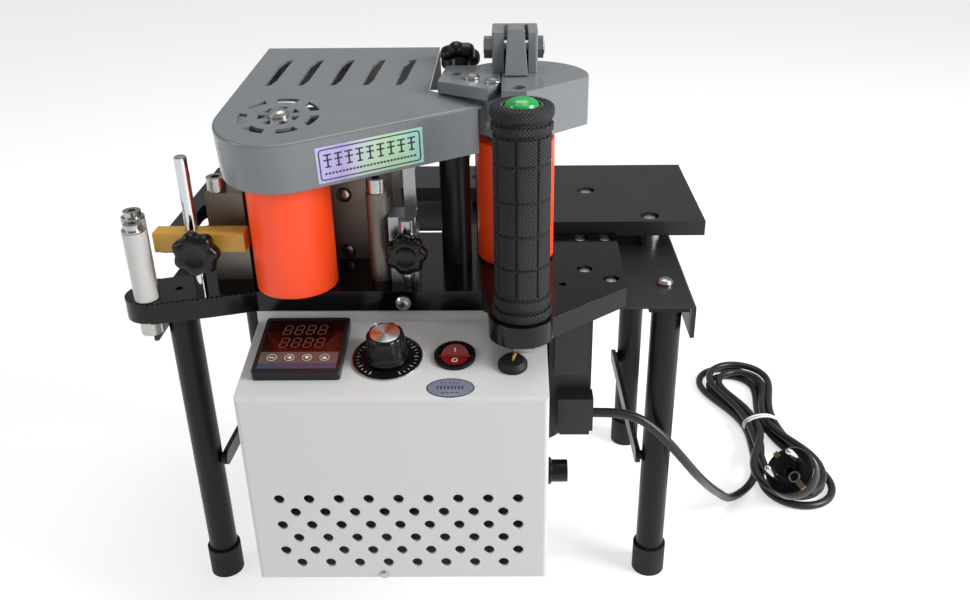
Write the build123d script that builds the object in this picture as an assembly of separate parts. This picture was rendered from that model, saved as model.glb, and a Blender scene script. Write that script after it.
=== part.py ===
"""Bench-top edge banding machine on a four-legged stand.

Millimetres. +X is the operator's right, +Y points away from the operator, +Z is up.
The floor is z = 0. Each function below makes one sub-part or one small family of parts,
drawn about a working origin that is moved to the centre of the footprint on export.
"""

from build123d import *
import os
from math import atan, cos, pi, sin

os.makedirs("parts", exist_ok=True)

CENTRE_X, CENTRE_Y = 4.5, 127.95

# Stand
LEG_X, LEG_FRONT_Y, LEG_REAR_Y, LEG_RADIUS = 145.0, 77.0, 228.0, 9.0
CAP_RADIUS, CAP_HEIGHT = 10.8, 21.0
SHELF_HALF_WIDTH, SHELF_FRONT, SHELF_BACK = 160.5, 66.0, 250.0
SHELF_TOP, SHELF_THICKNESS, SHELF_LIP = 207.3, 2.5, 22.0
TABLE_BOTTOM, TABLE_TOP = 216.8, 226.8
TABLE_SCREWS = [(105.0, 206.5), (143.8, 158.0), (-120.0, 236.0), (-50.0, 236.0), (30.0, 236.0)]

# Machine head
PLATE_BOTTOM, PLATE_TOP = 207.3, 219.8
GRIP_X, GRIP_Y = 58.0, 34.2
MAIN_X, MAIN_Y, ROLLER_RADIUS = -72.0, 71.5, 23.2
PRESS_X, PRESS_Y = 55.0, 113.0
GLUE_X, GLUE_Y, GLUE_RADIUS = -80.0, 106.5, 9.0
COLUMN_X, COLUMN_Y, COLUMN_RADIUS = 19.1, 106.7, 9.0
ROD_X, ROD_Y, ROD_RADIUS = -127.3, 66.0, 3.5
TUBES = [(-154.8, 53.0), (-161.0, 70.0)]
HOUSING_BOTTOM, HOUSING_TOP, HOUSING_RADIUS = 305.0, 332.5, 36.6
SHAFT_RADIUS, BORE_RADIUS, SHAFT_TOP = 4.0, 4.05, 310.0
PIVOT_Y, PIVOT_Z = 126.0, 344.5

# Top cover: a plane that rises towards the back
COVER_NOSE_Z, COVER_NOSE_Y, COVER_SLOPE = 316.0, 38.0, 0.158
COVER_SKIRT, COVER_SHEET = 28.0, 1.8

# Control box with a sloping panel
BOX_LEFT, BOX_RIGHT, BOX_FRONT, BOX_BACK, BOX_BOTTOM = -96.0, 72.2, -3.0, 70.0, 63.0
PANEL_FRONT_Z, PANEL_RISE, STEP_Y, SHEET = 187.5, 0.181, 62.0, 1.5
TILT = atan(PANEL_RISE)
PANEL = Plane(
    origin=(0, BOX_FRONT, PANEL_FRONT_Z), x_dir=(1, 0, 0), z_dir=(0, -sin(TILT), cos(TILT))
).location
CONTROLLER_X, CONTROLLER_V, CONTROLLER_SIDE = -65.0, 39.5, 48.0
KEY_XS, KEY_V = [CONTROLLER_X - 14.6 + 9.7 * i for i in range(4)], 27.5
DIAL_X, DIAL_V = -17.1, 34.2
ROCKER_X, ROCKER_V, ROCKER_TILT = 20.6, 34.6, 8.0
GROMMET_X, GROMMET_V = 52.8, 27.0

# Mains cord
CORD_RADIUS = 3.0


def block(x0, x1, y0, y1, z0, z1):
    """A box given by its limits."""
    size = (x1 - x0, y1 - y0, z1 - z0)
    return Pos((x0 + x1) / 2, (y0 + y1) / 2, (z0 + z1) / 2) * Box(*size)


def post(x, y, z0, z1, radius):
    """A vertical cylinder."""
    return Pos(x, y, (z0 + z1) / 2) * Cylinder(radius, z1 - z0)


def tube(x, y, z0, z1, outer, inner):
    """A vertical tube, open at both ends."""
    return post(x, y, z0, z1, outer) - post(x, y, z0 - 1, z1 + 1, inner)


def prism(points, z0, z1):
    """A plan outline pulled up from z0 to z1."""
    return Pos(0, 0, z0) * extrude(make_face(Polyline(*points, close=True)), z1 - z0, dir=(0, 0, 1))


def turned(profile):
    """A closed (radius, height) profile turned about the local Z axis."""
    return revolve(Plane.XZ * make_face(Polyline(*profile, close=True)), Axis.Z)


def pan_screw(head_radius, head_height, shank_radius, length):
    """A domed screw on the local Z axis, its head sitting on z = 0."""
    head = turned([
        (0, 0), (head_radius, 0), (head_radius, head_height * 0.4),
        (head_radius * 0.72, head_height * 0.85), (head_radius * 0.35, head_height), (0, head_height),
    ])
    return head + Pos(0, 0, -length / 2) * Cylinder(shank_radius, length)


def star_knob(radius, hub_radius, hub_length, thickness, shank_radius, shank_length):
    """A seven-lobed clamping knob: lobes above z = 0, hub and screw below it."""
    body = Pos(0, 0, thickness / 2) * Cylinder(radius * 0.8, thickness)
    for i in range(7):
        a = 2 * pi * i / 7
        lobe = Pos(0.77 * radius * cos(a), 0.77 * radius * sin(a), thickness / 2)
        body += lobe * Cylinder(radius * 0.23, thickness)
    body += Pos(0, 0, -hub_length / 2) * Cylinder(hub_radius, hub_length)
    body += Pos(0, 0, -hub_length - shank_length / 2) * Cylinder(shank_radius, shank_length)
    return body


def facing(origin, direction, x_dir=(1, 0, 0)):
    """A location whose local Z axis points along direction."""
    return Plane(origin=origin, x_dir=x_dir, z_dir=direction).location


# ---------------------------------------------------------------- stand

SCREW_SPOTS = [(sx * 146.0, y) for sx in (-1, 1) for y in (95.0, 210.0)]


def shelf_frame():
    """Folded sheet shelf, open at the front for the machine, with two side lips."""
    h, t = SHELF_HALF_WIDTH, SHELF_THICKNESS
    plate = block(-h, h, SHELF_FRONT, SHELF_BACK, SHELF_TOP - t, SHELF_TOP)
    for side in (-1, 1):
        lip = sorted((side * h, side * (h - t)))
        plate += block(*lip, SHELF_FRONT, SHELF_BACK, SHELF_TOP - SHELF_LIP, SHELF_TOP)
    edges = plate.edges().filter_by(Axis.Y).filter_by(lambda e: e.center().Z > SHELF_TOP - 0.1)
    plate = fillet(edges, 2.2)
    plate -= block(-112, 104, SHELF_FRONT - 1, 186, SHELF_TOP - 30, SHELF_TOP + 1)
    for x, y in SCREW_SPOTS:
        plate -= post(x, y, SHELF_TOP - 10, SHELF_TOP + 1, 2.1)
    for x, y in TABLE_SCREWS:
        plate -= post(x, y, SHELF_TOP - 10, SHELF_TOP + 1, 3.1)
    return plate


def leg(side, y, tab):
    """Round tube with a welded tab that a screw holds to the shelf."""
    x, top = side * LEG_X, SHELF_TOP - SHELF_THICKNESS
    y0, y1 = (y - 9.5, y + 26) if tab > 0 else (y - 26, y + 9.5)
    body = tube(x, y, 3, top, LEG_RADIUS, LEG_RADIUS - 1.5)
    body += block(x - 12, x + 12, y0, y1, top - 3, top)
    for sx, sy in SCREW_SPOTS:
        body -= post(sx, sy, top - 10, top + 1, 2.1)
    return body


def legs():
    """The four legs."""
    ends = [(side, *end) for side in (-1, 1) for end in ((LEG_FRONT_Y, 1), (LEG_REAR_Y, -1))]
    return Compound([leg(side, y, tab) for side, y, tab in ends])


def foot_caps():
    """Rubber cups on the four leg ends."""
    caps = []
    for side in (-1, 1):
        for y in (LEG_FRONT_Y, LEG_REAR_Y):
            cup = post(side * LEG_X, y, 0, CAP_HEIGHT, CAP_RADIUS)
            caps.append(cup - post(side * LEG_X, y, 3, CAP_HEIGHT + 1, LEG_RADIUS))
    return Compound(caps)


def brace(side):
    """Flat bar from the foot of the front leg up to the middle of the rear leg."""
    x = side * (LEG_X - LEG_RADIUS - 3)
    rear_z, front_z = 79.0, 93.0
    front = Vector(x, LEG_FRONT_Y, front_z)
    rear = Vector(x, LEG_REAR_Y, rear_z)
    run = rear - front
    bar = facing(front + run * 0.5, run) * Box(3, 10, run.length)
    for end in (front, rear):
        bar += Pos(end) * Rot(0, 90, 0) * Cylinder(5.0, 3)
        bar += Pos(end.X + side * 2.25, end.Y, end.Z) * Rot(0, 90, 0) * Cylinder(3.0, 1.5)
    return bar


def table_plate():
    """Work table: a thick plate with a front notch and one long slot."""
    outline = [
        (-170, 124), (-110, 124), (-110, 213), (64, 213),
        (64, 147.5), (179, 147.5), (179, 260.5), (-170, 260.5),
    ]
    plate = prism(outline, TABLE_BOTTOM, TABLE_TOP)
    slot = block(-159, -144, 150, 178, TABLE_BOTTOM - 1, TABLE_TOP + 1)
    for y in (150, 178):
        slot += post(-151.5, y, TABLE_BOTTOM - 1, TABLE_TOP + 1, 7.5)
    plate -= slot
    for x, y in TABLE_SCREWS:
        plate -= post(x, y, TABLE_BOTTOM - 1, TABLE_TOP + 1, 3.1)
        plate -= post(x, y, TABLE_TOP - 4, TABLE_TOP + 1, 6.2)
    return plate


def table_spacers():
    """Round spacers between shelf and table."""
    return Compound([tube(x, y, SHELF_TOP, TABLE_BOTTOM, 7.0, 3.1) for x, y in TABLE_SCREWS])


def table_screws():
    """Sunk screws through table, spacer and shelf."""
    seat = TABLE_TOP - 4
    length = seat - SHELF_TOP + SHELF_THICKNESS + 4
    return Compound([Pos(x, y, seat) * pan_screw(5.4, 3.2, 3.0, length) for x, y in TABLE_SCREWS])


# ---------------------------------------------------------------- base plate

WING_SCREWS = [(96.8, 137.0), (112.6, 137.0), (96.3, 90.3), (111.0, 76.5)]
POT_WALL_SCREWS = [(-47.8, 261.5), (-47.8, 224.8)]


def base_plate():
    """Thick black plate: a nose on the left, a lug for the grip and a wing on the right."""
    outline = [
        (-152, 45), (-120.5, 53.6), (-94.4, 61.5), (35.5, 60.5), (38.5, 57.0), (39.8, 40),
        (57.5, 34), (74.5, 27.0), (119.2, 65.0), (120.4, 145.5), (62, 145.5), (62, 162),
        (20, 162), (20, 148), (-70, 148), (-100, 116), (-112.4, 97), (-137, 86), (-158, 79),
    ]
    plate = prism(outline, PLATE_BOTTOM, PLATE_TOP)
    plate += post(-155.0, 60.5, PLATE_BOTTOM, PLATE_TOP, 14.5)
    plate += post(-157.0, 69.0, PLATE_BOTTOM, PLATE_TOP, 11.0)
    plate += post(GRIP_X - 0.3, GRIP_Y - 1.0, PLATE_BOTTOM, PLATE_TOP, 18.2)
    plate -= post(GRIP_X, GRIP_Y, PLATE_BOTTOM - 1, PLATE_TOP + 1, 6.1)
    for x, y in WING_SCREWS:
        plate -= post(x, y, PLATE_TOP - 3, PLATE_TOP + 1, 4.7)
        plate -= post(x, y, PLATE_BOTTOM - 1, PLATE_TOP, 2.6)
    for x, y in [(-140.5, 66.5), (82.1, 69.4)]:
        plate -= post(x, y, PLATE_BOTTOM - 1, PLATE_TOP + 1, 2.2)
    for x, y in [(MAIN_X, MAIN_Y), (PRESS_X, PRESS_Y), (GLUE_X, GLUE_Y)]:
        plate -= post(x, y, PLATE_BOTTOM + 2, PLATE_TOP + 1, BORE_RADIUS)
    plate -= post(*TUBES[0], PLATE_BOTTOM - 1, PLATE_TOP + 1, 3.1)
    plate -= post(*TUBES[1], PLATE_BOTTOM + 1, PLATE_TOP + 1, 3.1)
    plate -= post(ROD_X, ROD_Y, PLATE_BOTTOM + 1, PLATE_TOP + 1, ROD_RADIUS + 0.05)
    plate -= facing((-10.2, 60.8, 212.6), (0, -1, 0)) * Cylinder(2.1, 16)
    for i in range(22):
        x = -152 + 2.6 * i
        plate -= facing((x, 45.5 + 0.273 * (x + 152), PLATE_TOP), (0, 1, -1)) * Cylinder(0.6, 6)
    return plate


def sunk_screws():
    """Sunk screws in the wing and in the back wall of the glue pot."""
    screws = [Pos(x, y, PLATE_TOP - 3) * pan_screw(4.2, 2.2, 2.5, 9) for x, y in WING_SCREWS]
    for x, z in POT_WALL_SCREWS:
        screws.append(facing((x, 109.5, z), (0, -1, 0)) * pan_screw(4.2, 2.2, 2.5, 9))
    return Compound(screws)


def pan_screws():
    """Domed screws: shelf to legs, front of the base plate, lug plate and box front."""
    screws = [Pos(x, y, SHELF_TOP) * pan_screw(5.0, 3.6, 2.0, 8) for x, y in SCREW_SPOTS]
    screws += [Pos(x, y, HOUSING_TOP) * pan_screw(4.6, 3.0, 2.0, 5) for x, y in LUG_SCREWS]
    screws.append(facing((-10.2, 60.7, 212.6), (0, -1, 0)) * pan_screw(4.4, 2.8, 2.0, 7))
    screws.append(facing((-23.0, BOX_FRONT, 66.6), (0, -1, 0)) * pan_screw(2.6, 1.6, 1.2, 4))
    return Compound(screws)


# ---------------------------------------------------------------- control box

PANEL_HOLES = [(DIAL_X, DIAL_V, 3.4), (ROCKER_X, ROCKER_V, 10.1), (GROMMET_X, GROMMET_V, 5.0)]


def box_profile(inset, back):
    """Side outline of the box, moved in by the sheet thickness where asked."""
    def panel_z(y):
        return PANEL_FRONT_Z + (y - BOX_FRONT) * PANEL_RISE - inset / cos(TILT)

    step, front, top = STEP_Y + inset, BOX_FRONT + inset, PLATE_BOTTOM - inset
    points = [
        (front, BOX_BOTTOM + inset), (front, panel_z(front)), (step, panel_z(step)),
        (step, top), (back, top), (back, BOX_BOTTOM + inset),
    ]
    return make_face(Plane.YZ * Polyline(*points, close=True))


def control_box():
    """White sheet-metal box with a perforated front and a sloping panel."""
    width = BOX_RIGHT - BOX_LEFT
    outer = Pos(BOX_LEFT, 0, 0) * extrude(box_profile(0, BOX_BACK), width, dir=(1, 0, 0))
    rounded = outer.edges().filter_by(lambda e: abs(e.center().Y - BOX_FRONT) < 0.01)
    outer = fillet(rounded, 2.5)
    inner = extrude(box_profile(SHEET, BOX_BACK + 5), width - 2 * SHEET, dir=(1, 0, 0))
    inner = Pos(BOX_LEFT + SHEET, 0, 0) * inner
    shell = outer - inner
    holes = []
    for row in range(6):
        count = 9 - row % 2
        for i in range(count):
            x, z = -11.7 + 16.76 * (i - (count - 1) / 2), 121.6 - 9.2 * row
            holes.append(Pos(x, BOX_FRONT, z) * Rot(90, 0, 0) * Cylinder(3.0, 8))
    holes.append(Pos(-23.0, BOX_FRONT, 66.6) * Rot(90, 0, 0) * Cylinder(1.3, 8))
    holes.append(Pos(BOX_RIGHT, 30, 116) * Rot(0, 90, 0) * Cylinder(5.1, 8))
    side = CONTROLLER_SIDE - 3.4
    holes.append(PANEL * Pos(CONTROLLER_X, CONTROLLER_V, 0) * Box(side, side, 6))
    holes += [PANEL * Pos(u, v, 0) * Cylinder(r, 6) for u, v, r in PANEL_HOLES]
    return shell - holes


def box_back():
    """Flat sheet that closes the back of the box."""
    return block(BOX_LEFT, BOX_RIGHT, BOX_BACK, BOX_BACK + SHEET, BOX_BOTTOM, PLATE_BOTTOM)


def temp_controller():
    """Square panel instrument: a proud bezel with four key wells and a body behind."""
    side = CONTROLLER_SIDE
    bezel = fillet(Box(side, side, 5.5).edges().filter_by(Axis.Z), 2.0)
    body = Pos(0, 0, 2.75) * bezel + Pos(0, 0, -22) * Box(side - 4, side - 4, 44)
    case = PANEL * Pos(CONTROLLER_X, CONTROLLER_V, 0) * body
    case -= PANEL * Pos(CONTROLLER_X, CONTROLLER_V + 8.5, 5.5) * Box(42, 22, 1.2)
    for x in KEY_XS:
        case -= PANEL * Pos(x, KEY_V, 5.5) * Cylinder(3.2, 5.0)
    return case


def controller_key(x):
    """Round push key that stands a little proud of the bezel."""
    return PANEL * Pos(x, KEY_V, 5.05) * Cylinder(2.8, 2.0)


def dial_plate():
    """Thin round scale under the speed knob."""
    return PANEL * Pos(DIAL_X, DIAL_V, 0.4) * (Cylinder(19.6, 0.8) - Cylinder(3.5, 2))


def speed_knob():
    """Skirted pointer knob on its shaft."""
    profile = [
        (0, -12), (3, -12), (3, 1.4), (12.2, 1.4), (12.2, 3.6), (10.8, 5.0),
        (10.4, 17.0), (9.4, 18.0), (0, 18.0),
    ]
    knob = turned(profile)
    for i in range(20):
        a = 2 * pi * i / 20
        knob -= Pos(11.2 * cos(a), 11.2 * sin(a), 12.5) * Cylinder(0.9, 14)
    return PANEL * Pos(DIAL_X, DIAL_V, 0) * knob


def potentiometer():
    """Round pot body behind the panel with a bore for the knob's shaft."""
    body = Pos(0, 0, -8.5) * Cylinder(9.0, 14) - Pos(0, 0, -7.0) * Cylinder(3.05, 14)
    return PANEL * Pos(DIAL_X, DIAL_V, 0) * body


def rocker_frame():
    """Round snap-in frame of the power switch."""
    frame = Pos(0, 0, 1.0) * Cylinder(11.6, 2.0) + Pos(0, 0, -9.0) * Cylinder(10.0, 18.0)
    frame -= Pos(0, 0, -4.0) * Cylinder(9.0, 14.0)
    frame -= Rot(0, 90, 0) * Cylinder(1.25, 19.2)
    return PANEL * Pos(ROCKER_X, ROCKER_V, 0) * frame


def rocker_switch():
    """Red rocker: a dished round cap on a cross pin, resting on its front side."""
    side = [(-7.6, 2.2), (0, 1.0), (7.6, 2.2), (7.2, -3.5), (-7.2, -3.5)]
    cap = extrude(make_face(Plane.YZ * Polyline(*side, close=True)), 9, both=True)
    cap = cap & Cylinder(7.8, 20)
    cap += Rot(0, 90, 0) * Cylinder(1.2, 18.8)
    return PANEL * Pos(ROCKER_X, ROCKER_V, 0) * Rot(ROCKER_TILT, 0, 0) * cap


def cable_grommet():
    """Rubber grommet for the trigger wire."""
    profile = [(1.8, -3), (5.0, -3), (5.0, 0), (8.2, 0), (8.2, 2.0), (6.0, 4.5), (1.8, 4.5)]
    return PANEL * Pos(GROMMET_X, GROMMET_V, 0) * turned(profile)


def fuse_holder():
    """Fuse cap on the right wall of the box."""
    profile = [(0, -14), (5, -14), (5, 0), (8, 0), (8, 2.5), (6.6, 3.5), (6.6, 12.5), (0, 12.5)]
    return facing((BOX_RIGHT, 30, 116), (1, 0, 0), (0, 1, 0)) * turned(profile)


# ---------------------------------------------------------------- grip

def handle_tube():
    """Steel tube inside the grip, with a threaded stub through the lug."""
    body = tube(GRIP_X, GRIP_Y, PLATE_TOP, 336, 11.0, 9.6)
    body += tube(GRIP_X, GRIP_Y, PLATE_TOP, PLATE_TOP + 4, 11.0, 3.0)
    body += tube(GRIP_X, GRIP_Y, PLATE_BOTTOM - 9.5, PLATE_TOP + 1, 6.0, 3.0)
    return body


def rubber_grip():
    """Ribbed rubber sleeve: flanges at both ends and five rows of pads."""
    profile = [
        (11.0, PLATE_TOP), (16.2, PLATE_TOP), (16.2, 224.5), (14.2, 225.5), (14.2, 227.5),
        (15.6, 228.5), (15.6, 232.0), (14.0, 233.0),
    ]
    for z in (251.3, 269.9, 288.4, 307.4, 321.5):
        start = profile[-1][1]
        profile += [(15.0, start + 1.0), (15.0, z - 1.6), (14.0, z - 0.6), (14.0, z + 0.6)]
    profile += [(15.9, 323.2), (15.9, 327.4), (14.6, 328.2), (14.6, 329.6), (16.4, 330.6),
                (16.4, 335.4), (15.4, 336.4), (11.0, 336.4)]
    return Pos(GRIP_X, GRIP_Y, 0) * turned(profile)


def handle_button():
    """Green domed push button in the top of the grip."""
    profile = [(0, 322), (8.8, 322), (8.8, 335.6), (8.0, 337.0), (6.4, 338.2), (4.4, 339.0),
               (2.2, 339.5), (0, 339.6)]
    return Pos(GRIP_X, GRIP_Y, 0) * turned(profile)


def handle_nut():
    """Hexagon nut under the lug."""
    hexagon = extrude(RegularPolygon(9.2, 6), 8.5)
    return Pos(GRIP_X, GRIP_Y, PLATE_BOTTOM - 8.5) * (hexagon - Cylinder(6.1, 20))


# ---------------------------------------------------------------- columns and rollers

def column():
    """Black post between base plate and casting, with a collar under the casting."""
    body = post(COLUMN_X, COLUMN_Y, PLATE_TOP, HOUSING_BOTTOM, COLUMN_RADIUS)
    return body + post(COLUMN_X, COLUMN_Y, 285, 289, COLUMN_RADIUS + 0.4)


def roller_sleeve(x, y, top):
    """Orange rubber sleeve."""
    sleeve = tube(x, y, PLATE_TOP + 1.2, top, ROLLER_RADIUS, 17.0)
    rims = sleeve.edges().filter_by(GeomType.CIRCLE).filter_by(lambda e: e.radius > 20)
    return fillet(rims, 1.0)


def roller_core(x, y, top):
    """Steel hub with a shaft that runs in the base plate and in the casting."""
    core = post(x, y, PLATE_TOP + 1.2, top, 17.0)
    core += post(x, y, PLATE_BOTTOM + 2.5, PLATE_TOP + 2, SHAFT_RADIUS)
    return core + post(x, y, top, SHAFT_TOP, SHAFT_RADIUS)


def glue_roller():
    """Knurled steel roller that takes glue from the pot to the main roller."""
    body = post(GLUE_X, GLUE_Y, PLATE_TOP + 1.5, 270, GLUE_RADIUS)
    body += post(GLUE_X, GLUE_Y, PLATE_BOTTOM + 2.5, PLATE_TOP + 2, SHAFT_RADIUS)
    return body + post(GLUE_X, GLUE_Y, 270, SHAFT_TOP, SHAFT_RADIUS)


# ---------------------------------------------------------------- glue pot and guides

POT_CAPS = [(-115.5, 84.0), (-24.2, 80.0)]


def glue_pot():
    """Cast pot behind the rollers with a boss at each side and a deep glue well."""
    body = block(-108.5, -58, 118.5, 146, PLATE_TOP, 274)
    body += block(-60, -18, 107, 146, PLATE_TOP, 274)
    body += block(-121.5, -100, 78, 120, PLATE_TOP, 273.7)
    body += block(-28, -20.4, 80, 108, PLATE_TOP, 262)
    body += post(POT_CAPS[1][0], POT_CAPS[1][1], PLATE_TOP, 273.7, 6.2)
    body -= block(-104, -26, 124, 141, 228, 275)
    for x, z in POT_WALL_SCREWS:
        body -= Pos(x, 107, z) * Rot(90, 0, 0) * (Cylinder(2.6, 24) + Cylinder(4.7, 5))
    for x, y in POT_CAPS:
        body -= post(x, y, 266, 275, 2.6)
    return body


def pot_caps():
    """Socket-head screws on the two bosses."""
    caps = []
    for x, y in POT_CAPS:
        screw = post(x, y, 273.7, 282, 5.4) + post(x, y, 267, 273.7, 2.5)
        caps.append(screw - extrude(Pos(x, y, 278) * RegularPolygon(2.9, 6), 6))
    return Compound(caps)


def guide_block():
    """Small steel block with a raised strip, a ledge with a round pin and a cone tip."""
    body = block(-17.5, -1.6, 72, 88, PLATE_TOP, 261)
    body += block(-9.5, -2.5, 88, 92, PLATE_TOP, 286)
    body += block(-12, -2, 66.5, 73, 249.6, 252.5) + post(-7.0, 70.8, 252.5, 260.5, 4.6)
    body += Pos(-7.0, 66.5, 223.8) * Cone(1.2, 3.6, 8.0)
    body += post(-7.0, 66.5, 227.8, 229.4, 3.6) + block(-10, -4, 66.5, 73, 225.5, 229.4)
    return body - facing((-7.0, 76.5, 243.0), (0, 1, 0)) * Cylinder(2.6, 14)


def middle_knob():
    """Star knob on the front of the small block."""
    knob = star_knob(12.2, 6.0, 5.5, 9.0, 2.5, 8.0)
    return facing((-7.0, 66.0, 243.0), (0, -1, 0)) * knob


def guide_rod():
    """Polished rod that carries the amber bar."""
    rod = post(ROD_X, ROD_Y, PLATE_BOTTOM + 1, 300, ROD_RADIUS)
    return chamfer(rod.edges().filter_by(lambda e: e.center().Z > 299), 0.8)


def amber_bar():
    """Nylon guide bar, bored for the rod and tapped from the front."""
    bar = block(-148, -97, 60, 72, 245, 257)
    bar = fillet(bar.edges().filter_by(Axis.X), 1.5)
    bar -= post(ROD_X, ROD_Y, 240, 260, ROD_RADIUS + 0.06)
    return bar - facing((-121.3, 57.4, 249.0), (0, -1, 0)) * Cylinder(2.6, 16)


def left_knob():
    """Star knob that clamps the amber bar."""
    knob = star_knob(13.2, 6.0, 5.0, 9.5, 2.5, 5.0)
    return facing((-121.3, 54.7, 249.0), (0, -1, 0)) * knob


def guide_tube(index):
    """White plastic tube that turns on a fixed screw."""
    x, y = TUBES[index]
    return tube(x, y, PLATE_TOP + 0.4, 261.5 + index * 1.0, 6.5, 3.06)


def tube_screws():
    """Screws that carry the white tubes, each with a wide head and a nut below."""
    screws = []
    for index, (x, y) in enumerate(TUBES):
        top = 261.9 + index * 1.0
        screw = post(x, y, PLATE_BOTTOM + 1, top, 3.0) + post(x, y, top, top + 0.8, 6.4)
        screw += post(x, y, top + 0.8, top + 4.2, 4.9)
        if index == 0:
            screw += post(x, y, 197.5, PLATE_BOTTOM + 2, 3.0) + post(x, y, 199.0, PLATE_BOTTOM, 6.2)
        screws.append(screw - extrude(Pos(x, y, top + 2) * RegularPolygon(2.4, 6), 6))
    return Compound(screws)


# ---------------------------------------------------------------- top casting

LUG_SCREWS = [(30.7, 100.6), (42.6, 91.8)]
LUG_BOTTOM = 326.0
REAR_KNOB = facing((22.0, 142.6, 331.0), (0, 0.75, 0.66))


def head_pillar():
    """Cast pillar that carries the gear housing."""
    return block(30, 60, 142.5, 159, PLATE_TOP, HOUSING_BOTTOM)


def gear_housing():
    """Grey half-round casting cut off along the front right, with an arm over the rollers."""
    body = post(60, 108, HOUSING_BOTTOM, HOUSING_TOP, HOUSING_RADIUS)
    body += block(30, 60, 108, 159, HOUSING_BOTTOM, 318)
    body &= prism([(61, 71.6), (96.4, 104), (96.7, 170), (0, 170), (0, 106.5), (38.2, 83.7),
                   (45, 71.6)], 300, 340)
    body += prism([(14, 100.5), (40, 85), (60, 85), (60, 130), (14, 130)], HOUSING_BOTTOM, 328)
    body += REAR_KNOB * Pos(0, 0, -15) * Cylinder(6.0, 19)
    body -= prism([(-10, 60), (47.5, 60), (47.5, 118), (41.5, 133.3), (-10, 133.3)],
                  LUG_BOTTOM, 345)
    body += prism([(50, 92), (10, 97), (-50, 54), (-88, 60), (-95, 112), (-60, 120), (50, 120)],
                  HOUSING_BOTTOM, 312)
    body += COVER * Pos(MAIN_X, 32, -7) * Cylinder(5.0, 10)
    body -= COVER * Pos(MAIN_X, 32, -5) * Cylinder(2.3, 12)
    for x, y in [(MAIN_X, MAIN_Y), (PRESS_X, PRESS_Y), (GLUE_X, GLUE_Y)]:
        body -= post(x, y, HOUSING_BOTTOM - 1, SHAFT_TOP + 0.5, BORE_RADIUS)
    body -= post(56, 80.5, LUG_BOTTOM, 334, 4.5)
    body -= REAR_KNOB * Pos(0, 0, -12) * Cylinder(2.65, 22)
    for x, y in LUG_SCREWS:
        body -= post(x, y, 320, 334, 2.1)
    return body


def lug_plate():
    """Thin grey plate screwed to the housing; it reaches over the sheet cover."""
    plate = prism([(12, 95), (40, 77.5), (44.5, 84), (46.8, 95), (46.5, 117), (40.5, 132.5),
                   (15, 132.5)], LUG_BOTTOM, HOUSING_TOP)
    plate -= post(20.5, 112, 329, 334, 4.0)
    for x, y in LUG_SCREWS:
        plate -= post(x, y, 320, 334, 2.1)
    return plate


def rear_knob():
    """Star knob screwed into the back of the housing at a slant."""
    return REAR_KNOB * star_knob(12.2, 6.5, 5.0, 9.0, 2.55, 16.0)


def clevis():
    """Upright fork on top of the housing."""
    body = block(42, 68, 113, 141, HOUSING_TOP, 355)
    body = fillet(body.edges().filter_by(Axis.Z), 1.5)
    body -= block(48.8, 62.6, 110, 136.8, HOUSING_TOP - 1, 360)
    return body - Pos(55, PIVOT_Y, PIVOT_Z) * Rot(0, 90, 0) * Cylinder(4.05, 60)


def tongue():
    """Wedge that swings in the fork: narrow on top, its foot reaching out at the front."""
    side = [(-22.5, -11.3), (-12.5, 12.3), (4.0, 12.3), (6.5, 9.0), (9.0, -3), (0, -10.0),
            (-6, -11.3)]
    front = [(-6.5, -12), (6.5, -12), (4.6, 13), (-4.6, 13)]
    body = extrude(make_face(Plane.YZ * Polyline(*side, close=True)), 6.5, both=True)
    body += Rot(0, 90, 0) * Cylinder(10.2, 13.0)
    body &= extrude(make_face(Plane.XZ * Polyline(*front, close=True)), 30, both=True)
    body = body - Rot(0, 90, 0) * Cylinder(4.05, 40)
    return Pos(55.7, PIVOT_Y, PIVOT_Z) * body


def pivot_bolt():
    """Hexagon bolt through the fork, with its nut."""
    axis = facing((0, PIVOT_Y, PIVOT_Z), (1, 0, 0), (0, 1, 0))
    bolt = axis * Pos(0, 0, 54.5) * Cylinder(4.0, 35)
    bolt += axis * Pos(0, 0, 37.2) * extrude(RegularPolygon(6.6, 6), 4.8)
    return bolt + axis * Pos(0, 0, 68.0) * extrude(RegularPolygon(6.6, 6), 3.4)


# ---------------------------------------------------------------- sheet cover

COVER = Plane(
    origin=(0, COVER_NOSE_Y, COVER_NOSE_Z),
    x_dir=(1, 0, 0), z_dir=(0, -sin(atan(COVER_SLOPE)), cos(atan(COVER_SLOPE))),
).location
NOSE_V, NOSE_RADIUS, BACK_V = 30.0, 34.5, 130.5


def cover_outline(inset, right_side):
    """Plan of the cover: a round nose, a straight front edge and a straight left edge."""
    def on_nose(degrees):
        a = degrees * pi / 180
        radius = NOSE_RADIUS - inset
        return Vector(MAIN_X + radius * cos(a), NOSE_V + radius * sin(a))

    front, left, back = on_nose(-65), on_nose(174.8), BACK_V - inset
    back_left = Vector(left.X + (back - left.Y) * 0.091, back)
    end_x = right_side[-1][0]
    front_end = Vector(end_x, front.Y + (end_x - front.X) * 0.4663)
    line = Polyline(left, back_left, *right_side, front_end, front)
    return make_face(line + ThreePointArc(front, on_nose(225), left))


def arc_slots(inner, outer, bridge):
    """Seven arc-shaped slots: a ring cut by seven straight bridges."""
    ring = Cylinder(outer, 8) - Cylinder(inner, 10)
    for i in range(7):
        turn = Rot(0, 0, 86 + (i + 0.5) * 360 / 7)
        ring -= turn * Pos((inner + outer) / 2, 0, 0) * Box(outer - inner + 4, bridge, 10)
    return ring


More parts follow.
